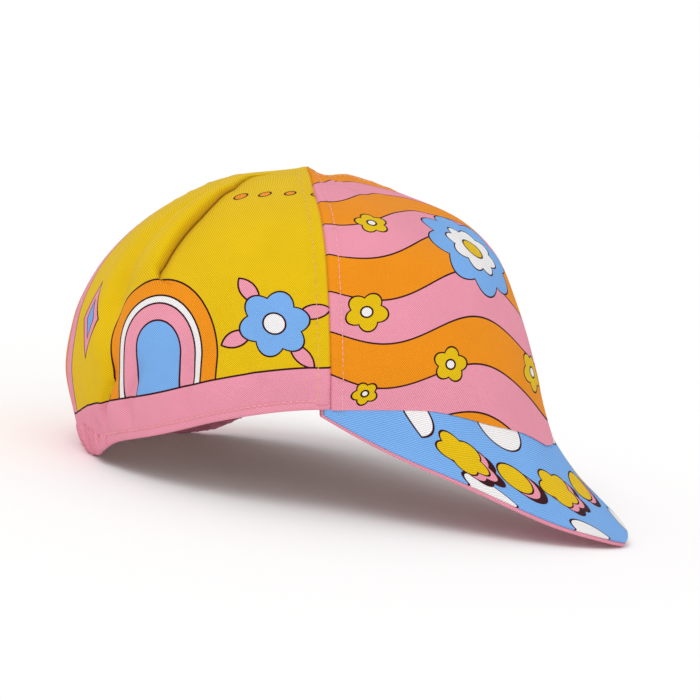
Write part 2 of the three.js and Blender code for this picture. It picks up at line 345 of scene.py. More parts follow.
def seam_relief(angle, way):
    relief = np.zeros_like(way)
    for seam in SEAMS:
        away = seam_distance(angle, way, seam)
        from_row = away - STITCH_OFFSET
        turn = smooth(way, 0, 1) * PUCKER_TURNS
        pucker = 0.16 * np.cos(2.3 * turn + seam) + 0.1 * np.cos(5.1 * turn)
        ridge = SEAM["ridge"] * (1 - smooth(from_row, -0.4, 1.6))
        groove = -SEAM["groove"] * np.exp(-(away / SEAM["groove_width"]) ** 2)
        sewn = -SEAM["sewn"] * np.exp(-(from_row / SEAM["sewn_width"]) ** 2)
        puckered = pucker * np.exp(-(from_row / SEAM["pucker_width"]) ** 2)
        relief += ridge + groove + (sewn + puckered) * smooth(away, 1, 4)
    return relief * (1 - 0.75 * smooth(way, 0.93, 1))


FOOT = dict(sag=8.2, angle=6.0, half_width=15.0, height=0.1, lowered=0.16)
APEX_SHIFT = 2.4


def foot_sag(angle, way):
    """How the front panel's foot sags out over the peak, as forward and up in millimetres."""
    droop = math.radians(PEAK["droop"])
    share = np.exp(-((signed(angle) - FOOT["angle"]) / FOOT["half_width"]) ** 2)
    out = FOOT["sag"] * share * (1 - np.clip(way / FOOT["height"], 0, 1)) ** 1.5
    down = FOOT["lowered"] * out
    forward = out * math.cos(droop) - down * math.sin(droop)
    return forward, -out * math.sin(droop) - down * math.cos(droop)


def cloth_point(angle, way, lift=0.0, lining=False):
    """A point of the crown's outer face, or of its lining, and its outward direction."""
    angle, way = np.broadcast_arrays(np.asarray(angle, float), np.asarray(way, float))
    normal = outward(angle, way)
    roll, lean = roll_relief(angle, way)
    if lining:
        roll, lean, lift = np.minimum(roll, 0), 0 * lean, lift - WALL
    relief = fold_relief(angle, way) + roll + gather_relief(angle, way)
    relief = relief + slack_relief(angle, way) + apex_dip(angle, way)
    relief = relief + seam_relief(angle, way) + lift
    forward = unit(smooth_crown(angle + 0.5, way) - smooth_crown(angle - 0.5, way))
    points = smooth_crown(angle, way) + normal * relief[..., None] + forward * lean[..., None]
    sag_forward, sag_up = foot_sag(angle, way)
    points[..., 1] += sag_forward + APEX_SHIFT * smooth(way, 0.75, 1)
    points[..., 2] += sag_up
    return points, normal


print("stitch rows lie", STITCH_OFFSET, "mm from each of", len(SEAMS), "seams")

# %% [markdown]
# A peak is cut from stiff card and sewn in along the curved hem, so it droops and bends round
# the brow. It is a fan of straight lines from the root, each a little steeper towards the
# corners. The same lines give every layer of it: the printed top, and the plain under cover.

# %% The peak's surface
def peak_lines(u):
    turn = np.radians(u * PEAK["fan"])
    droop = np.radians(blend(PEAK["droop"], PEAK["corner_droop"], u * u))
    along = np.stack([np.cos(droop) * np.sin(turn), np.cos(droop) * np.cos(turn), -np.sin(droop)], -1)
    above = np.stack([np.sin(droop) * np.sin(turn), np.sin(droop) * np.cos(turn), np.cos(droop)], -1)
    return droop, along, above


def peak_length(u):
    share = np.clip(1 - np.abs(u) ** PEAK["power"], 0, 1) ** (1 / PEAK["root_power"])
    return blend(PEAK["corner"], PEAK["length"], share)


def peak_point(u, travel, depth):
    """A point a distance out from the root, and a depth beneath the peak's top."""
    _, along, above = peak_lines(u)
    length = peak_length(u)
    across = np.clip(travel / length, 0, 1)
    bow = PEAK["bow"] * 4 * across * (1 - across) * length / PEAK["length"]
    root = hem_point(u * PEAK["root_angle"]) - np.array([0, 0, PEAK["root_drop"]])
    return root + along * travel[..., None] + above * (bow - depth)[..., None]


print("the peak reaches out", round(float(peak_length(np.array(0.0))), 1), "mm in its middle")

# %% [markdown]
# Off a head, a cap lies on the edge of its peak and on the casing at the back. The worn pose is
# tipped until the peak just touches the table while the casing is pressed onto it a little, and
# what would reach beneath the table there is flat. Halving an interval again and again finds
# the angle. The last step lines the cap up with the frame.

# %% Tip the cap into its resting pose
def casing_underside():
    angle = np.linspace(CASING["start"], 360 - CASING["start"], 200)
    middle = CASING["proud"] - CASING["thick"] / 2
    return smooth_crown(angle, 0 * angle) + outward(angle, 0 * angle) * middle


def peak_underside():
    u = np.linspace(-1, 1, 201)
    depth = PEAK["top"] + PEAK["gap"] + PEAK["under"]
    return peak_point(u, peak_length(u) + PEAK["under_edge"], depth + 0 * u)


def lowest(points, tip):
    return (points[:, 2] * math.cos(tip) + points[:, 1] * math.sin(tip)).min()


MOST_TIP = 25
low_tip, high_tip = 0.0, math.radians(MOST_TIP)
for _ in range(HALVINGS):
    tip = (low_tip + high_tip) / 2
    lift = lowest(peak_underside(), tip) - lowest(casing_underside(), tip)
    if lift < PRESS:
        low_tip = tip
    else:
        high_tip = tip
floor_height = lowest(peak_underside(), tip)


def turn_to_rest(vectors):
    """Turns (left, forward, up) of the worn pose to x, y and z of the resting one."""
    forward = vectors[..., 1] * math.cos(tip) - vectors[..., 2] * math.sin(tip)
    up = vectors[..., 2] * math.cos(tip) + vectors[..., 1] * math.sin(tip)
    return np.stack([vectors[..., 0], -forward, up], -1)


front_edge = turn_to_rest(peak_underside())[:, 1].min() * MM
y_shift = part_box("peak_under")[0].y - front_edge


def settle(points):
    """Places worn-pose millimetres in the scene, in metres, with the casing pressed flat."""
    rest = turn_to_rest(points) * MM
    rest[..., 1] += y_shift
    rest[..., 2] = np.maximum(rest[..., 2] - floor_height * MM, 0)
    return rest


print("tipped by", round(math.degrees(tip), 2), "degrees, y shift", round(y_shift / MM, 2), "mm")

# %% [markdown]
# The camera stands where the photographer's did: level with the cap, a little in front of its
# right side. We know its place against the worn pose, so it is turned to rest with the cap. A
# long lens from far off keeps the sides from spreading. Large soft lamps and a pale floor make
# the even light of a shop photograph.

# %% Camera
VIEW = dict(turn=24.0, rise=5.0, distance=1400.0, aim_forward=21.6, aim_up=38.7, px_per_mm=2.59,
            frame_px=700, sensor_mm=36.0)


def worn_axes():
    turn, rise = math.radians(VIEW["turn"]), math.radians(VIEW["rise"])
    right = np.array([math.sin(turn), math.cos(turn), 0.0])
    level = np.array([-math.cos(turn), math.sin(turn), 0.0])
    upright = np.array([0.0, 0.0, 1.0])
    up = upright * math.cos(rise) - level * math.sin(rise)
    back = level * math.cos(rise) + upright * math.sin(rise)
    return right, up, back


view_right, view_up, view_back = worn_axes()
aim = np.array([0.0, VIEW["aim_forward"], VIEW["aim_up"]])
camera_data = bpy.data.cameras.new("camera")
camera_data.sensor_width = VIEW["sensor_mm"]
camera_data.lens = VIEW["px_per_mm"] * VIEW["distance"] * VIEW["sensor_mm"] / VIEW["frame_px"]
camera = bpy.data.objects.new("camera", camera_data)
bpy.context.scene.collection.objects.link(camera)
columns = [turn_to_rest(v) for v in (view_right, view_up, view_back)]
place = settle(aim + view_back * VIEW["distance"])
camera.matrix_world = Matrix([
    [columns[0][k], columns[1][k], columns[2][k], place[k]] for k in range(3)
] + [[0, 0, 0, 1]])
camera_data.clip_end = 50
bpy.context.scene.camera = camera
print("lens", round(camera_data.lens, 1), "mm, camera height", round(place[2], 3), "m")


# %% Lamps
WORLD_LIGHT = 0.74


def soft_sun(name, side, up, toward, strength, spread_degrees):
    """A wide sun that shines from a direction given by the camera's own axes."""
    away = columns[0] * side + columns[2] * toward + np.array([0, 0, up])
    back = away / np.linalg.norm(away)
    right = np.cross([0, 0, 1.0], back)
    right /= np.linalg.norm(right)
    upward = np.cross(back, right)
    data = bpy.data.lights.new(name, "SUN")
    data.energy, data.angle = strength, math.radians(spread_degrees)
    sun = bpy.data.objects.new(name, data)
    bpy.context.scene.collection.objects.link(sun)
    sun.matrix_world = Matrix([[right[k], upward[k], back[k], 0] for k in range(3)] + [[0, 0, 0, 1]])


soft_sun("key_sun", side=-0.35, up=1.0, toward=0.55, strength=0.95, spread_degrees=35)
soft_sun("fill_sun", side=0.35, up=0.2, toward=1.0, strength=0.4, spread_degrees=60)

world = bpy.data.worlds.new("studio")
world.use_nodes = True
world.node_tree.nodes["Background"].inputs["Color"].default_value = (1, 1, 1, 1)
world.node_tree.nodes["Background"].inputs["Strength"].default_value = WORLD_LIGHT
bpy.context.scene.world = world
bpy.context.scene.view_settings.view_transform = "Standard"
print("lamps:", [lamp.name for lamp in bpy.data.lights])

# %% Floor
FLOOR_HALF = 12.0
floor_mesh = bpy.data.meshes.new("floor")
floor_corners = [(-FLOOR_HALF, -FLOOR_HALF, 0), (FLOOR_HALF, -FLOOR_HALF, 0),
                 (FLOOR_HALF, FLOOR_HALF, 0), (-FLOOR_HALF, FLOOR_HALF, 0)]
floor_mesh.from_pydata(floor_corners, [], [(0, 1, 2, 3)])
floor = bpy.data.objects.new("floor", floor_mesh)
bpy.context.scene.collection.objects.link(floor)
floor_paint = bpy.data.materials.new("pale_floor")
floor_paint.use_nodes = True
floor_shader = floor_paint.node_tree.nodes["Principled BSDF"]
floor_shader.inputs["Base Color"].default_value = (0.98, 0.98, 0.98, 1)
floor_shader.inputs["Roughness"].default_value = 0.9
floor_mesh.materials.append(floor_paint)
print("the floor is", 2 * FLOOR_HALF, "m wide")

# %% [markdown]
# Every finish here is dyed or printed cotton twill. A twill shows fine slanting ribs, about
# three in two millimetres, which catch the light and make the colour a little uneven. We build
# that once as a node group that reads the cloth's own UV map, laid out in millimetres, so the
# ribs and the print follow the cloth round the crown. A tiled picture of cloth would be quicker
# to set up, but its repeat would show on panels as large as these.

# %% A small helper for node trees
class Nodes:
    """Adds nodes to a tree. A value may be a number, a colour or another node's socket."""

    def __init__(self, tree):
        self.tree = tree
        self.column = 0

    def add(self, kind, values=(), output=0, **settings):
        node = self.tree.nodes.new(kind)
        self.column += 1
        node.location = (160 * (self.column % 40), -260 * (self.column // 40))
        for key, value in settings.items():
            setattr(node, key, value)
        for key, value in dict(values).items():
            self.feed(node.inputs[key], value)
        return node.outputs[output]

    def feed(self, socket, value):
        if isinstance(value, bpy.types.NodeSocket):
            self.tree.links.new(value, socket)
        else:
            socket.default_value = value

    def math(self, operation, a, b=0.0, c=0.0):
        return self.add("ShaderNodeMath", {0: a, 1: b, 2: c}, operation=operation)

    def mix(self, share, a, b, how="MIX"):
        values = {0: share, 6: a, 7: b}
        return self.add("ShaderNodeMix", values, 2, data_type="RGBA", blend_type=how)


def group_sockets(tree, inputs, outputs):
    for kind, name, default in inputs:
        socket = tree.interface.new_socket(name, in_out="INPUT", socket_type=kind)
        if default is not None:
            socket.default_value = default
    for kind, name in outputs:
        tree.interface.new_socket(name, in_out="OUTPUT", socket_type=kind)


math_operations = bpy.types.ShaderNodeMath.bl_rna.properties["operation"].enum_items
print("a math node knows", len(math_operations), "operations")

# %% The twill
def twill_group():
    """From a place on the cloth in millimetres: a rib height, and an uneven tone near 1."""
    tree = bpy.data.node_groups.new("cotton_twill", "ShaderNodeTree")
    group_sockets(tree, [
        ("NodeSocketVector", "Place", None), ("NodeSocketFloat", "Rib", 0.66),
        ("NodeSocketFloat", "Turn", 0.0),
    ], [("NodeSocketFloat", "Height"), ("NodeSocketFloat", "Tone")])
    nodes = Nodes(tree)
    inside = tree.nodes.new("NodeGroupInput")
    place, rib = inside.outputs["Place"], inside.outputs["Rib"]
    wander = nodes.add("ShaderNodeTexNoise", {"Vector": place, "Scale": 0.35, "Detail": 2.0})
    turned = nodes.add("ShaderNodeVectorRotate", {"Vector": place, "Angle": inside.outputs["Turn"]},
                       rotation_type="Z_AXIS")
    parts = nodes.add("ShaderNodeSeparateXYZ", {0: turned})
    across = nodes.math("ADD", parts, nodes.math("MULTIPLY", wander, 0.4))
    phase = nodes.math("DIVIDE", across, rib)
    rib_wave = nodes.math("SINE", nodes.math("MULTIPLY", phase, 2 * math.pi))
    along = parts.node.outputs[1]
    weft_phase = nodes.math("DIVIDE", along, nodes.math("MULTIPLY", rib, 0.62))
    weft = nodes.math("SINE", nodes.math("MULTIPLY", weft_phase, 2 * math.pi))
    yarn = nodes.add("ShaderNodeTexNoise", {"Vector": place, "Scale": 2.4, "Detail": 3.0})
    blotch = nodes.add("ShaderNodeTexNoise", {"Vector": place, "Scale": 0.045, "Detail": 2.0})
    height = nodes.math("MULTIPLY_ADD", rib_wave, 0.5, nodes.math("MULTIPLY", weft, 0.16))
    height = nodes.math("MULTIPLY_ADD", yarn, 0.6, height)
    tone = nodes.math("MULTIPLY_ADD", rib_wave, 0.19, 1.0)
    tone = nodes.math("ADD", tone, nodes.math("MULTIPLY_ADD", yarn, 0.12, -0.06))
    tone = nodes.math("ADD", tone, nodes.math("MULTIPLY_ADD", blotch, 0.14, -0.07))
    outside = tree.nodes.new("NodeGroupOutput")
    nodes.feed(outside.inputs["Height"], height)
    nodes.feed(outside.inputs["Tone"], tone)
    return tree


TWILL = twill_group()
print("nodes in the twill:", len(TWILL.nodes))


# %% A cloth material, and the dyes
COTTON = {"Roughness": 0.88, "Specular IOR Level": 0.12, "Sheen Weight": 0.05,
          "Sheen Roughness": 0.5}


def cloth_material(name, print_colour, rib=0.66, turn_degrees=-45):
    """A twill whose colour is a plain RGBA value or a function that paints on the nodes."""
    material = bpy.data.materials.new(name)
    material.use_nodes = True
    tree = material.node_tree
    shader = tree.nodes["Principled BSDF"]
    nodes = Nodes(tree)
    uv = nodes.add("ShaderNodeUVMap", uv_map="cloth_mm")
    place = nodes.add("ShaderNodeVectorMath", {0: uv, "Scale": 1000.0}, operation="SCALE")
    twill = tree.nodes.new("ShaderNodeGroup")
    twill.node_tree = TWILL
    twill.inputs["Rib"].default_value = rib
    twill.inputs["Turn"].default_value = math.radians(turn_degrees)
    nodes.feed(twill.inputs["Place"], place)
    colour = print_colour(nodes, place) if callable(print_colour) else print_colour
    tone = nodes.add("ShaderNodeCombineXYZ", {k: twill.outputs["Tone"] for k in range(3)})
    toned = nodes.mix(1.0, colour, tone, "MULTIPLY")
    bump = nodes.add("ShaderNodeBump", {"Height": twill.outputs["Height"], "Strength": 0.6,
                                        "Distance": 0.2 * MM})
    nodes.feed(shader.inputs["Base Color"], toned)
    nodes.feed(shader.inputs["Normal"], bump)
    for key, value in COTTON.items():
        nodes.feed(shader.inputs[key], value)
    return material


def rgb(red, green, blue):
    """A screen colour from 0 to 255 as the linear colour that a shader needs."""
    def linear(value):
        value = value / 255
        return value / 12.92 if value <= 0.04045 else ((value + 0.055) / 1.055) ** 2.4
    return (linear(red), linear(green), linear(blue), 1.0)


PINK = rgb(231, 148, 168)
ORANGE = rgb(234, 142, 20)
YELLOW = rgb(224, 185, 10)
BLUE = rgb(118, 170, 230)
WHITE = rgb(234, 232, 232)
DARK = rgb(54, 12, 20)
print("pink as a linear colour:", [round(part, 3) for part in PINK[:3]])

# %% [markdown]
# The print is a cheerful pattern of our own: wavy bands and flowers on the front, an arch, a
# bloom with leaves and a lozenge on the back, and scallops, blooms and discs on the peak. Each
# motif is a distance, worked out with a few math nodes: minus inside the shape, zero on its
# outline and plus outside. One test fills the shape and another draws the dark line round it. A
# painted image could hold the print as well, but lines worked out by nodes stay sharp at any size.

# %% Motifs as distances
LINE = 0.72


class Print(Nodes):
    """Paints motifs one over another on a cloth whose places are in millimetres."""

    def __init__(self, nodes, place, ground):
        super().__init__(nodes.tree)
        self.column = nodes.column
        self.place = place
        self.colour = ground
        parts = self.add("ShaderNodeSeparateXYZ", {0: place})
        self.x, self.y = parts, parts.node.outputs[1]

    def at(self, centre, turn=0.0):
        """Local x and y about a centre, turned by an angle in degrees."""
        moved = self.add("ShaderNodeVectorMath", {0: self.place, 1: (centre[0], centre[1], 0)},
                         operation="SUBTRACT")
        turned = self.add("ShaderNodeVectorRotate", {"Vector": moved, "Angle": math.radians(-turn)},
                          rotation_type="Z_AXIS")
        parts = self.add("ShaderNodeSeparateXYZ", {0: turned})
        return parts, parts.node.outputs[1]

    def length(self, x, y):
        squares = self.math("MULTIPLY_ADD", x, x, self.math("MULTIPLY", y, y))
        return self.math("SQRT", squares)

    def disc(self, centre, radius):
        x, y = self.at(centre)
        return self.math("SUBTRACT", self.length(x, y), radius)

    def lozenge(self, centre, half_x, half_y, turn=0.0):
        x, y = self.at(centre, turn)
        share_x = self.math("DIVIDE", self.math("ABSOLUTE", x), half_x)
        share_y = self.math("DIVIDE", self.math("ABSOLUTE", y), half_y)
        total = self.math("SUBTRACT", self.math("ADD", share_x, share_y), 1.0)
        return self.math("MULTIPLY", total, half_x * half_y / math.hypot(half_x, half_y))

    def flower(self, centre, radius, petals, depth=0.2, turn=0.0):
        x, y = self.at(centre, turn)
        way_round = self.math("ARCTAN2", y, x)
        ripple = self.math("ABSOLUTE", self.math("SINE", self.math("MULTIPLY", way_round, petals / 2)))
        edge = self.math("MULTIPLY_ADD", ripple, radius * depth, radius * (1 - depth))
        return self.math("SUBTRACT", self.length(x, y), edge)

    def arch(self, centre, radius, foot):
        """A half disc on straight legs, as tall as radius plus foot."""
        x, y = self.at(centre)
        raised = self.math("MAXIMUM", y, 0.0)
        dome = self.math("SUBTRACT", self.length(x, raised), radius)
        below = self.math("SUBTRACT", self.math("MULTIPLY", y, -1.0), foot)
        return self.math("MAXIMUM", dome, below)

    def leaf(self, centre, length, width, turn=0.0):
        """Where two discs overlap."""
        x, y = self.at(centre, turn)
        radius = (length ** 2 + width ** 2) / (4 * width)
        shift = radius - width / 2
        one = self.math("SUBTRACT", self.length(x, self.math("ADD", y, shift)), radius)
        two = self.math("SUBTRACT", self.length(x, self.math("SUBTRACT", y, shift)), radius)
        return self.math("MAXIMUM", one, two)

    def both(self, one, two):
        return self.math("MAXIMUM", one, two)

    def fill(self, distance, colour, line=LINE):
        inside = self.math("LESS_THAN", distance, 0.0)
        self.colour = self.mix(inside, self.colour, colour)
        if line:
            on_line = self.math("LESS_THAN", self.math("ABSOLUTE", distance), line / 2)
            self.colour = self.mix(on_line, self.colour, DARK)

    def waves(self, angle, pitch, sway, sway_length):
        """Turns x and y into a height over swaying bands, counted in bands."""
        x, y = self.at((0, 0), angle)
        bend = self.math("SINE", self.math("MULTIPLY", x, 2 * math.pi / sway_length))
        return self.math("DIVIDE", self.math("MULTIPLY_ADD", bend, sway, y), pitch)


print("the outlines are", LINE, "mm wide")

# %% Print of the front panel
# x and y of the middle and radius, in millimetres
SMALL_FLOWERS = [(-66, 8, 8.5), (-40, -22, 7.0), (-42, 44, 6.5), (4, -32, 8.0), (44, -18, 8.5),
                 (58, 28, 6.5), (-74, -26, 5.0)]


def front_print(nodes, place):
    design = Print(nodes, place, PINK)
    pitch = 37.0
    count = design.waves(angle=-16, pitch=pitch, sway=6.0, sway_length=78)
    orange = design.math("LESS_THAN", design.math("FRACT", count), 0.5)
    design.colour = design.mix(orange, PINK, ORANGE)
    half_band = design.math("FRACT", design.math("MULTIPLY", count, 2))
    from_middle = design.math("ABSOLUTE", design.math("SUBTRACT", half_band, 0.5))
    on_line = design.math("GREATER_THAN", from_middle, 0.5 - LINE / pitch)
    design.colour = design.mix(on_line, design.colour, DARK)
    bloom = (-4, 20)
    design.fill(design.flower(bloom, 22, 8), BLUE)
    design.fill(design.flower(bloom, 12.5, 8, turn=22), WHITE)
    design.fill(design.disc(bloom, 4.8), YELLOW)
    for x, y, radius in SMALL_FLOWERS:
        design.fill(design.flower((x, y), radius, 5, depth=0.28, turn=x), YELLOW)
        design.fill(design.disc((x, y), radius * 0.27), WHITE)
    return design.colour


print("small flowers on the front:", len(SMALL_FLOWERS))

# %% Print of the back panels
# radius in millimetres and colour of each band of the arch, from the outside in
ARCHES = [(27, ORANGE), (20.5, WHITE), (17.5, PINK), (11, BLUE)]


def back_print(nodes, place, side):
    """The same motifs on both sides, mirrored by side (1 or -1)."""
    design = Print(nodes, place, YELLOW)
    for radius, colour in ARCHES:
        design.fill(design.arch((side * 27, -16), radius, 40), colour)
    bloom = (side * 73, 4)
    for turn in (35, 145, 215, 325):
        angle = math.radians(turn)
        spot = (bloom[0] + 15.5 * math.cos(angle), bloom[1] + 17 * math.sin(angle))
        design.fill(design.leaf(spot, 13, 6, turn), PINK)
    design.fill(design.flower(bloom, 13.5, 6, depth=0.24), BLUE)
    design.fill(design.disc(bloom, 4.2), WHITE)
    beyond_arch = (side * -17, -8)
    design.fill(design.lozenge(beyond_arch, 8.5, 15), PINK)
    design.fill(design.lozenge(beyond_arch, 4.2, 7.5), BLUE)
    for k in range(4):
        design.fill(design.disc((side * (27 + 9 * k), 56 + 4.5 * k), 2.6 - 0.3 * k), ORANGE)
    for width, colour in ((34, PINK), (44, ORANGE)):
        design.fill(design.math("ADD", design.math("MULTIPLY", design.x, side), width), colour)
    height = nodes.add("ShaderNodeAttribute", output=2, attribute_name="above_hem_mm")
    design.fill(design.math("SUBTRACT", height, 16.0), PINK)
    return design.colour


print("bands of the arch:", len(ARCHES))

# %% Print of the peak
def scallops(design, x, y, pitch, radius):
    """Half discs in a row along y = 0."""
    along = design.math("FRACT", design.math("DIVIDE", x, pitch))
    beside = design.math("MULTIPLY_ADD", along, pitch, -pitch / 2)
    return design.math("SUBTRACT", design.length(beside, y), radius)


# millimetres across the peak at which a bloom and a disc stand in turn
PEAK_ROW = (-52, -33, -13, 7, 27, 46)


def peak_print(nodes, place):
    design = Print(nodes, place, BLUE)
    from_edge = nodes.add("ShaderNodeAttribute", output=2, attribute_name="from_edge_mm")
    beyond = design.math("SUBTRACT", design.math("ABSOLUTE", design.x), 64.0)
    edge_row = scallops(design, design.x, from_edge, pitch=36.0, radius=7.5)
    design.fill(design.both(edge_row, beyond), WHITE)
    root_row = scallops(design, design.math("ADD", design.x, 4.0), design.y, pitch=40.0, radius=9.5)
    design.fill(design.both(root_row, beyond), WHITE)
    for k, x in enumerate(PEAK_ROW):
        centre_y = 27 - 0.0042 * x * x
        turn = -0.22 * x
        for step, colour in ((4.2, DARK), (2.4, PINK), (0, YELLOW)):
            spot = (x + step * 0.8, centre_y + step)
            if k % 2 == 0:
                shape = design.flower(spot, 9.4, 5, depth=0.26, turn=turn)
            else:
                shape = design.disc(spot, 6.8)
            design.fill(shape, colour)
    return design.colour


FRONT_CLOTH = cloth_material("front_print_twill", front_print, turn_degrees=-25)
BACK_CLOTH = {
    "right": cloth_material("back_print_twill_right",
                            lambda nodes, place: back_print(nodes, place, 1), turn_degrees=-57),
    "left": cloth_material("back_print_twill_left",
                           lambda nodes, place: back_print(nodes, place, -1), turn_degrees=-33),
}
PEAK_CLOTH = cloth_material("peak_print_twill", peak_print, turn_degrees=-77)
PINK_CLOTH = cloth_material("pink_twill", PINK)
GATHERED_CLOTH = cloth_material("gathered_pink_twill", PINK, rib=0.5, turn_degrees=-15)
CLOTH_BACK = cloth_material("unprinted_twill", rgb(232, 206, 196))
print("materials:", len(bpy.data.materials))

# %% [markdown]
# Every panel is a grid of points over the crown, close together at the seams, where the cloth
# turns in, and wider apart between them. Numpy works out all the points at once, and the mesh
# gets a UV map in millimetres, flattened about the panel's own middle, so that round motifs
# stay round. A second grid, one wall further in, is the unprinted inner face. The Solidify
# modifier could make it too, but it kinks where all the columns meet at the apex.

# %% Meshes of cloth
def new_piece(name, points, faces, uv_mm, materials, attributes=()):
    """A mesh object from points in metres, with a UV map in millimetres held as metres."""
    mesh = bpy.data.meshes.new(name)
    mesh.from_pydata(points.reshape(-1, 3).tolist(), [], faces)
    layer = mesh.uv_layers.new(name="cloth_mm")
    corner = np.empty(len(mesh.loops), int)
    mesh.loops.foreach_get("vertex_index", corner)
    layer.data.foreach_set("uv", (uv_mm.reshape(-1, 2)[corner] * MM).ravel())
    for key, values in dict(attributes).items():
        attribute = mesh.attributes.new(key, "FLOAT", "POINT")
        attribute.data.foreach_set("value", values.ravel().astype(np.float32))
    mesh.polygons.foreach_set("use_smooth", [True] * len(mesh.polygons))
    for material in materials:
        mesh.materials.append(material)
    piece = bpy.data.objects.new(name, mesh)
    bpy.context.scene.collection.objects.link(piece)
    return piece


def grid_faces(columns, rows):
    """Faces of a grid of points numbered row by row within each column."""
    return [
        (i * rows + j, (i + 1) * rows + j, (i + 1) * rows + j + 1, i * rows + j + 1)
        for i in range(columns - 1) for j in range(rows - 1)
    ]


def wall_faces(columns, rows):
    """An outer grid, an inner one, and the rims at the foot and at both seams that join them."""
    outer = grid_faces(columns, rows)
    count = columns * rows
    last = (columns - 1) * rows
    inner = [tuple(count + point for point in face[::-1]) for face in outer]
    foot = [
        ((i + 1) * rows, i * rows, count + i * rows, count + (i + 1) * rows)
        for i in range(columns - 1)
    ]
    first_seam = [(j, j + 1, count + j + 1, count + j) for j in range(rows - 1)]
    last_seam = [
        (last + j + 1, last + j, count + last + j, count + last + j + 1) for j in range(rows - 1)
    ]
    return outer + inner + foot + first_seam + last_seam


print("a grid of 3 by 3 points has", len(grid_faces(3, 3)), "faces, a wall", len(wall_faces(3, 3)))

# %% Where the columns of a panel stand, and its flat map
MM_PER_DEGREE = 1.45
SEAM_COLUMNS = [0, 0.2, 0.45, 0.8, 1.4, 2.2, 3.2, 4.2, 5.0, 5.5, 6.0, 6.5, 7.0, 7.8]
COLUMN_STEP = 1.4
FINE_STEP = 0.3
HEM_ROWS = [0, 0.004, 0.01, 0.018]
FLAT_RADIUS = 92.0
PANEL_MIDDLE = 0.42
SHARP_ANGLE = 55


def seam_crowded(start, end, fine=()):
    """Angles from seam to seam, crowded beside the seams and wherever fine says."""
    near = np.array(SEAM_COLUMNS) / MM_PER_DEGREE
    count = int((end - start - 2 * near[-1]) / (COLUMN_STEP / MM_PER_DEGREE))
    middle = np.linspace(start + near[-1], end - near[-1], count + 2)[1:-1]
    if fine:
        outside = (middle < fine[0]) | (middle > fine[1])
        middle = np.sort(np.concatenate([middle[outside], np.arange(fine[0], fine[1], FINE_STEP)]))
    return np.concatenate([start + near, middle, (end - near)[::-1]])


def flattened(points, centre, normal, level):
    """Places on a round panel as a flat map about its middle, true to length outwards."""
    right = unit(np.cross(normal, level))
    up = np.cross(right, normal)
    away = points - centre
    reach = np.linalg.norm(away, axis=-1)
    arc = 2 * FLAT_RADIUS * np.arcsin(np.clip(reach / (2 * FLAT_RADIUS), 0, 1))
    x, y = away @ right, away @ up
    flat = np.maximum(np.hypot(x, y), 1e-6)
    return np.stack([x / flat * arc, y / flat * arc], -1)


print("columns across the front panel:", len(seam_crowded(-SEAM_ANGLE, SEAM_ANGLE)))


# %% A panel of the crown
def weld(piece):
    """Merges the points that meet at the apex."""
    shape = bmesh.new()
    shape.from_mesh(piece.data)
    bmesh.ops.remove_doubles(shape, verts=shape.verts, dist=1e-6)
    bmesh.ops.dissolve_degenerate(shape, edges=shape.edges, dist=1e-7)
    shape.to_mesh(piece.data)
    shape.free()


def crown_panel(name, start, end, lower_height, centre_angle, materials, rows=140, fine=()):
    angles = seam_crowded(start, end, fine)
    share = np.concatenate([HEM_ROWS, np.linspace(0.03, 1, rows)])
    lower = way_at_height(angles, lower_height(angles))
    way = lower[:, None] + (1 - lower[:, None]) * share[None, :]
    angle = np.broadcast_to(angles[:, None], way.shape)
    outer, _ = cloth_point(angle, way)
    lining, _ = cloth_point(angle, way, lining=True)
    points = np.stack([outer, lining])
    above = cumulative(outer, 1) + lower_height(angles)[:, None]
    centre = smooth_crown(centre_angle, PANEL_MIDDLE)
    normal = outward(np.array(float(centre_angle)), np.array(PANEL_MIDDLE))
    uv = flattened(smooth_crown(angle, way), centre, normal, np.array([0, 0, 1.0]))
    faces = wall_faces(*way.shape)
    both_sides = {"above_hem_mm": np.stack([above, above])}
    piece = new_piece(name, settle(points), faces, np.stack([uv, uv]), materials, both_sides)
    one_side = len(grid_faces(*way.shape))
    side = np.zeros(len(faces), int)
    side[one_side:2 * one_side] = 1
    piece.data.polygons.foreach_set("material_index", side)
    weld(piece)
    piece.data.set_sharp_from_angle(angle=math.radians(SHARP_ANGLE))
    print(name, "has", len(piece.data.vertices), "points")
    return piece


# %% Front and back panels
HEM_OVERLAP = 1.2


def front_foot(angle):
    """The front panel runs down to the hem line itself."""
    return 0 * angle


def back_foot(angle):
    """The back panels end just behind the top of the hem and of the casing."""
    return edge_height(angle) - HEM_OVERLAP


front_panel = crown_panel("front_panel_cloth", -SEAM_ANGLE, SEAM_ANGLE, front_foot, 0,
                          [FRONT_CLOTH, CLOTH_BACK])
back_right = crown_panel("back_panel_right_cloth", -180, -SEAM_ANGLE, back_foot, -123,
                         [BACK_CLOTH["right"], CLOTH_BACK], fine=(-118, -104))
back_left = crown_panel("back_panel_left_cloth", SEAM_ANGLE, 180, back_foot, 123,
                        [BACK_CLOTH["left"], CLOTH_BACK])

# %% [markdown]
# The hem of the back panels is turned twice, so it is a thick soft roll. The casing is the same
# fold made wider, with elastic inside that draws it into small pleats. Both are a rounded
# section carried along the hem line. The pleats follow a rule, so Geometry Nodes push them out:
# a wave along the casing, made uneven by a seeded noise, on the outer face alone.

# %% Hem and casing sections
SAG = dict(height=3.4, angle=136, half_width=8.5)
END_GAP = 0.12

# powers below one make the section fuller than an ellipse; its top leans back, in millimetres
SECTION = dict(up_power=0.55, out_power=0.6, top_lean=0.5)


def corner_sag(angle):
    """Millimetres that the drawn-in cloth hangs lower where the elastic starts."""
    off = (np.abs(signed(angle)) - SAG["angle"]) / SAG["half_width"]
    return SAG["height"] * np.exp(-off ** 2)


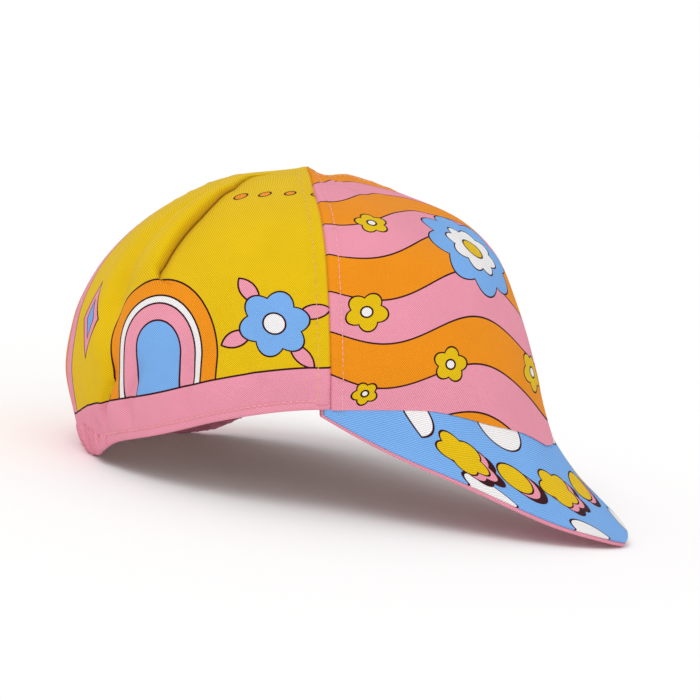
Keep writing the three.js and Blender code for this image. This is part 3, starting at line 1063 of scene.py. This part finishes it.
def tube_faces(columns, around):
    """The side faces of a section carried along a path, and the caps at both its ends."""
    last = (columns - 1) * around
    sides = [
        ((i + 1) * around + k, (i + 1) * around + (k + 1) % around, i * around + (k + 1) % around,
         i * around + k)
        for i in range(columns - 1) for k in range(around)
    ]
    return sides + [tuple(range(around)), tuple(range(last + around - 1, last - 1, -1))]


def edging(name, start, end, columns, material, around=28):
    """A hem or casing: a rounded section carried along the hem line."""
    angles = np.linspace(start, end, columns)
    turn = np.linspace(0, 2 * math.pi, around, endpoint=False)
    cos, sin = np.cos(turn), np.sin(turn)
    up = 0.5 * (1 - np.sign(cos) * np.abs(cos) ** SECTION["up_power"])
    out = np.sign(sin) * np.abs(sin) ** SECTION["out_power"]
    angle = np.broadcast_to(angles[:, None], (columns, around))
    way = way_at_height(angle, edge_height(angle) * up[None, :])
    base = smooth_crown(angle, way)
    normal = outward(angle, way)
    soft = gather_relief(angle, way)
    gathered = gathered_share(angle)
    thick = blend(HEM["thick"], CASING["thick"], gathered)
    proud = blend(HEM["proud"], CASING["drawn_proud"], gathered)
    proud = proud - SECTION["top_lean"] * up[None, :] ** 3
    offset = proud - thick / 2 + thick / 2 * out[None, :] + soft
    points = base + normal * offset[..., None]
    points -= normal * (CASING["tuck_in"] * gathered * (1 - up[None, :]) ** 1.5)[..., None]
    points[..., 2] -= corner_sag(angle) * (1 - up[None, :])
    along = cumulative(smooth_crown(angles, 0 * angles), 0)
    along = np.broadcast_to(along[:, None], angle.shape)
    uv = np.stack([along, cumulative(points, 1)], -1)
    outer = np.broadcast_to(np.clip(out, 0, 1)[None, :], angle.shape)
    attributes = {"along_mm": along, "outer_share": outer}
    faces = tube_faces(columns, around)
    return new_piece(name, settle(points), faces, uv, [material], attributes)


hem_right = edging("hem_right_cloth", -(CASING["start"] - END_GAP), -SEAM_ANGLE, 130, PINK_CLOTH)
hem_left = edging("hem_left_cloth", SEAM_ANGLE, CASING["start"] - END_GAP, 130, PINK_CLOTH)
casing = edging("elastic_casing_cloth", CASING["start"], 360 - CASING["start"], 260,
                GATHERED_CLOTH, 36)
print("each hem strip has", len(hem_right.data.vertices), "points")


# %% Pleats by Geometry Nodes
def pleat_tree():
    tree = bpy.data.node_groups.new("elastic_pleats", "GeometryNodeTree")
    group_sockets(tree, [
        ("NodeSocketGeometry", "Geometry", None), ("NodeSocketFloat", "Pleat", 0.0),
        ("NodeSocketFloat", "Depth", 0.0), ("NodeSocketInt", "Seed", 0),
        ("NodeSocketMaterial", "Cloth", None),
    ], [("NodeSocketGeometry", "Geometry")])
    nodes = Nodes(tree)
    inside = tree.nodes.new("NodeGroupInput")
    outside = tree.nodes.new("NodeGroupOutput")
    along = nodes.add("GeometryNodeInputNamedAttribute", {"Name": "along_mm"}, data_type="FLOAT")
    outer = nodes.add("GeometryNodeInputNamedAttribute", {"Name": "outer_share"}, data_type="FLOAT")
    seeded = nodes.math("MULTIPLY_ADD", along, 0.11, inside.outputs["Seed"])
    noise = nodes.add("ShaderNodeTexNoise", {"W": seeded, "Scale": 1.0, "Detail": 1.0},
                      noise_dimensions="1D")
    uneven = nodes.math("MULTIPLY_ADD", noise, 9.0, along)
    phase = nodes.math("DIVIDE", uneven, inside.outputs["Pleat"])
    wave = nodes.math("SINE", nodes.math("MULTIPLY", phase, 2 * math.pi))
    push = nodes.math("MULTIPLY", nodes.math("MULTIPLY", wave, inside.outputs["Depth"]), outer)
    normal = nodes.add("GeometryNodeInputNormal")
    offset = nodes.add("ShaderNodeVectorMath", {0: normal, "Scale": push}, operation="SCALE")
    moved = nodes.add("GeometryNodeSetPosition",
                      {"Geometry": inside.outputs["Geometry"], "Offset": offset})
    real = nodes.add("GeometryNodeRealizeInstances", {0: moved})
    painted = nodes.add("GeometryNodeSetMaterial",
                        {"Geometry": real, "Material": inside.outputs["Cloth"]})
    nodes.feed(outside.inputs["Geometry"], painted)
    return tree


def set_inputs(modifier, **values):
    for item in modifier.node_group.interface.items_tree:
        if item.in_out == "INPUT" and item.name in values:
            modifier[item.identifier] = values[item.name]


def made_plain(source, name):
    """Turns an object with modifiers into a plain mesh object of another name."""
    evaluated = source.evaluated_get(bpy.context.evaluated_depsgraph_get())
    mesh = bpy.data.meshes.new_from_object(evaluated, preserve_all_data_layers=True,
                                           depsgraph=bpy.context.evaluated_depsgraph_get())
    mesh.name = name
    piece = bpy.data.objects.new(name, mesh)
    bpy.context.scene.collection.objects.link(piece)
    bpy.data.objects.remove(source, do_unlink=True)
    return piece


pleats = casing.modifiers.new("pleats", "NODES")
pleats.node_group = pleat_tree()
set_inputs(pleats, Pleat=CASING["pleat"], Depth=CASING["depth"] * MM, Seed=4, Cloth=GATHERED_CLOTH)
bpy.context.view_layer.update()
casing = made_plain(casing, "elastic_casing_pleated")
for point in casing.data.vertices:
    point.co.z = max(point.co.z, 0)
print("casing points:", len(casing.data.vertices))


# %% [markdown]
# The peak is two layers, the printed top and the pink under cover, and its edge is a soft roll.
# Each is a thin closed section, out along the top, round the edge and back underneath, carried
# across from corner to corner.

# %% Peak layers
ROOT_TUCK = 1.1
DRAWN_GAP = 0.05


def peak_layer(name, top_depth, thickness, extra, material, columns=150, out_rows=44, nose=9):
    crowd = np.linspace(-1, 1, columns)
    u = blend(crowd, np.sin(crowd * math.pi / 2), 0.6)
    droop, _, _ = peak_lines(u)
    length = peak_length(u) + extra
    radius = thickness / 2
    share = np.linspace(0, 1, out_rows)
    turn = np.linspace(-math.pi / 2, math.pi / 2, nose)[1:-1]
    tuck_top = top_depth / np.tan(droop) + ROOT_TUCK
    tuck_low = (top_depth + thickness) / np.tan(droop) + ROOT_TUCK
    flat_end = length - radius
    out_top = blend(-tuck_top[:, None], flat_end[:, None], share[None, :])
    out_low = blend(-tuck_low[:, None], flat_end[:, None], share[None, ::-1])
    out_nose = flat_end[:, None] + radius * np.cos(turn)[None, :]
    travel = np.concatenate([out_top, out_nose, out_low], 1)
    depth = np.concatenate([
        np.full(out_rows, top_depth),
        top_depth + radius + radius * np.sin(turn),
        np.full(out_rows, top_depth + thickness),
    ])
    around = travel.shape[1]
    uu = np.broadcast_to(u[:, None], travel.shape)
    points = peak_point(uu, travel, np.broadcast_to(depth[None, :], travel.shape))
    root_arc = cumulative(peak_point(u, 0 * u, 0 * u), 0)
    edge_arc = cumulative(peak_point(u, length, 0 * u), 0)
    root_arc, edge_arc = root_arc - root_arc[-1] / 2, edge_arc - edge_arc[-1] / 2
    reach = np.clip(travel / PEAK["length"], 0, 1)
    across = blend(root_arc[:, None], edge_arc[:, None], reach)
    uv = np.stack([across, travel], -1)
    from_edge = length[:, None] - travel
    faces = [face[::-1] for face in tube_faces(columns, around)]
    return new_piece(name, settle(points), faces, uv, [material], {"from_edge_mm": from_edge})


peak_top = peak_layer("peak_top_cloth", 0.0, PEAK["top"], 0.0, PEAK_CLOTH)
under_thick = PEAK["gap"] + PEAK["under"] - DRAWN_GAP
peak_under = peak_layer("peak_under_cloth", PEAK["top"] + DRAWN_GAP, under_thick,
                        PEAK["under_edge"], PINK_CLOTH)
print("the peak's edge is", round(PEAK["top"] + DRAWN_GAP + under_thick, 2), "mm thick")

# %% [markdown]
# The seams are sewn with a row of short stitches on each side, in pale pink thread on the front
# panel and in a sand colour on the back ones, and one more row runs along the hem. A stitch row
# repeats one small shape along a path, which is just what Geometry Nodes are for: the path is
# resampled at the stitch length, a bead of thread is set on each point and turned to lie along
# the path and face away from the cloth.

# %% Two threads
def thread_finish(name, shade, light):
    material = bpy.data.materials.new(name)
    material.use_nodes = True
    nodes = Nodes(material.node_tree)
    shader = material.node_tree.nodes["Principled BSDF"]
    place = nodes.add("ShaderNodeTexCoord", output=3)
    ply = nodes.add("ShaderNodeTexNoise", {"Vector": place, "Scale": 900.0, "Detail": 2.0})
    nodes.feed(shader.inputs["Base Color"], nodes.mix(ply, shade, light))
    shader.inputs["Roughness"].default_value = 0.6
    return material


PINK_THREAD = thread_finish("pale_pink_thread", rgb(224, 142, 140), rgb(250, 196, 190))
SAND_THREAD = thread_finish("sand_thread", rgb(204, 150, 84), rgb(238, 196, 124))
print("threads:", PINK_THREAD.name, "and", SAND_THREAD.name)


# %% A row of stitches by Geometry Nodes
# how far a stitch may be turned out of line about each axis, in radians
MOST_WOBBLE = (0.05, 0.05, 0.1)


def stitch_tree():
    tree = bpy.data.node_groups.new("stitch_row", "GeometryNodeTree")
    group_sockets(tree, [
        ("NodeSocketGeometry", "Geometry", None), ("NodeSocketFloat", "Pitch", 0.0),
        ("NodeSocketFloat", "Length", 0.0), ("NodeSocketFloat", "Thickness", 0.0),
        ("NodeSocketInt", "Seed", 0), ("NodeSocketMaterial", "Thread", None),
    ], [("NodeSocketGeometry", "Geometry")])
    nodes = Nodes(tree)
    inside = tree.nodes.new("NodeGroupInput")
    outside = tree.nodes.new("NodeGroupOutput")
    path = nodes.add("GeometryNodeMeshToCurve", {0: inside.outputs["Geometry"]})
    spaced = nodes.add("GeometryNodeResampleCurve",
                       {"Curve": path, "Length": inside.outputs["Pitch"]}, mode="LENGTH")
    bead = nodes.add("GeometryNodeMeshUVSphere", {"Segments": 8, "Rings": 6, "Radius": 0.5})
    wide = inside.outputs["Thickness"]
    size = nodes.add("ShaderNodeCombineXYZ", {0: inside.outputs["Length"], 1: wide, 2: wide})
    bead = nodes.add("GeometryNodeTransform", {"Geometry": bead, "Scale": size})
    away = nodes.add("GeometryNodeInputNamedAttribute", {"Name": "away"}, data_type="FLOAT_VECTOR")
    tangent = nodes.add("GeometryNodeInputTangent")
    turned = nodes.add("FunctionNodeAxesToRotation", {0: away, 1: tangent}, primary_axis="Z",
                       secondary_axis="X")
    least = tuple(-angle for angle in MOST_WOBBLE)
    wobble = nodes.add("FunctionNodeRandomValue",
                       {0: least, 1: MOST_WOBBLE, "Seed": inside.outputs["Seed"]},
                       data_type="FLOAT_VECTOR")
    turned = nodes.add("FunctionNodeRotateRotation", {0: turned, 1: wobble}, rotation_space="LOCAL")
    row = nodes.add("GeometryNodeInstanceOnPoints",
                    {"Points": spaced, "Instance": bead, "Rotation": turned})
    real = nodes.add("GeometryNodeRealizeInstances", {0: row})
    sewn = nodes.add("GeometryNodeSetMaterial",
                     {"Geometry": real, "Material": inside.outputs["Thread"]})
    sewn = nodes.add("GeometryNodeSetShadeSmooth", {0: sewn})
    nodes.feed(outside.inputs["Geometry"], sewn)
    return tree


STITCH_TREE = stitch_tree()
STITCH = dict(Pitch=2.3 * MM, Length=2.15 * MM, Thickness=0.34 * MM)
print("a stitch every", round(STITCH["Pitch"] / MM, 2), "mm")


# %% Rows along the seams and the hem
MOST_TURN = 50
THREAD_LIFT = 0.06
FOOT_MARGIN = 0.6


def stitch_paths(name, paths, seed, thread=PINK_THREAD):
    """Sews one object of stitches along paths, each a list of points and outward directions."""
    points, edges, away = [], [], []
    for path, normal in paths:
        first = len(points)
        points += settle(path).tolist()
        away += turn_to_rest(normal).tolist()
        edges += [(first + k, first + k + 1) for k in range(len(path) - 1)]
    mesh = bpy.data.meshes.new(name + "_path")
    mesh.from_pydata(points, edges, [])
    attribute = mesh.attributes.new("away", "FLOAT_VECTOR", "POINT")
    attribute.data.foreach_set("vector", np.array(away, np.float32).ravel())
    guide = bpy.data.objects.new(name + "_path", mesh)
    bpy.context.scene.collection.objects.link(guide)
    sewing = guide.modifiers.new("stitches", "NODES")
    sewing.node_group = STITCH_TREE
    set_inputs(sewing, Seed=seed, Thread=thread, **STITCH)
    bpy.context.view_layer.update()
    return made_plain(guide, name)


def beside_seam(seam, side, low_way, high_way=0.93):
    """A path a stitch offset away from a seam, from its foot up towards the apex."""
    way = np.linspace(low_way, high_way, 260)
    step = smooth_crown(seam + 0.5, way) - smooth_crown(seam - 0.5, way)
    turned = side * STITCH_OFFSET / np.linalg.norm(step, axis=-1)
    keep = np.abs(turned) < MOST_TURN
    return cloth_point((seam + turned)[keep], way[keep], lift=THREAD_LIFT)


def along_hem(start, end, height, proud):
    angle = np.linspace(start, end, 240)
    way = way_at_height(angle, height + 0 * angle)
    normal = outward(angle, way)
    soft = gather_relief(angle, way) + proud
    path = smooth_crown(angle, way) + normal * soft[..., None]
    path[..., 2] -= corner_sag(angle) * (1 - height / HEM["tall"])
    return path, normal


def row_foot(seam, edge):
    """The way up at which a stitch row starts, just above the edge below it."""
    return float(way_at_height(np.array(float(seam)), np.array(edge["tall"] + FOOT_MARGIN)))


front_rows, back_rows = [], []
for seam in (-SEAM_ANGLE, SEAM_ANGLE):
    side = math.copysign(1, seam)
    front_rows.append(beside_seam(seam, -side, 0.004))
    back_rows.append(beside_seam(seam, side, row_foot(seam, HEM)))
for side in (-1, 1):
    back_rows.append(beside_seam(180, side, row_foot(180, CASING)))
front_stitches = stitch_paths("front_seam_stitches", front_rows, seed=11)
back_stitches = stitch_paths("back_seam_stitches", back_rows, seed=17, thread=SAND_THREAD)
hem_line = dict(height=HEM["tall"] + 0.1, proud=0.15)
hem_rows = [
    along_hem(-(CASING["start"] - 1), -SEAM_ANGLE - 0.5, **hem_line),
    along_hem(SEAM_ANGLE + 0.5, CASING["start"] - 1, **hem_line),
]
hem_stitches = stitch_paths("hem_stitches", hem_rows, seed=23)
stitches = (front_stitches, back_stitches, hem_stitches)
print("stitch points:", sum(len(piece.data.vertices) for piece in stitches))

# %% [markdown]
# Last, each piece is tied to the frame: it rides on the cap's one body and stands for its plain
# solid, which is hidden.

# %% Tie the pieces to the frame
PIECES = [
    (front_panel, "front_panel", "front_cloth"),
    (back_right, "back_panel_right", "back_cloth"),
    (back_left, "back_panel_left", "back_cloth"),
    (hem_right, "hem_right", "pink_cloth"),
    (hem_left, "hem_left", "pink_cloth"),
    (casing, "elastic_band", "pink_cloth"),
    (peak_top, "peak_top", "peak_cloth"),
    (peak_under, "peak_under", "pink_cloth"),
]
for piece, node, slot in PIECES:
    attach(piece, "root")
    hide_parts(node)
for row in stitches:
    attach(row, "root")

for piece, node, slot in PIECES:
    corners = np.array([v.co for v in piece.data.vertices])
    low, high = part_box(node)
    below = (corners.min(0) - np.array(low)) / MM
    above = (corners.max(0) - np.array(high)) / MM
    print(f"{node}: low {np.round(below, 1)}, high {np.round(above, 1)} mm from its solid")
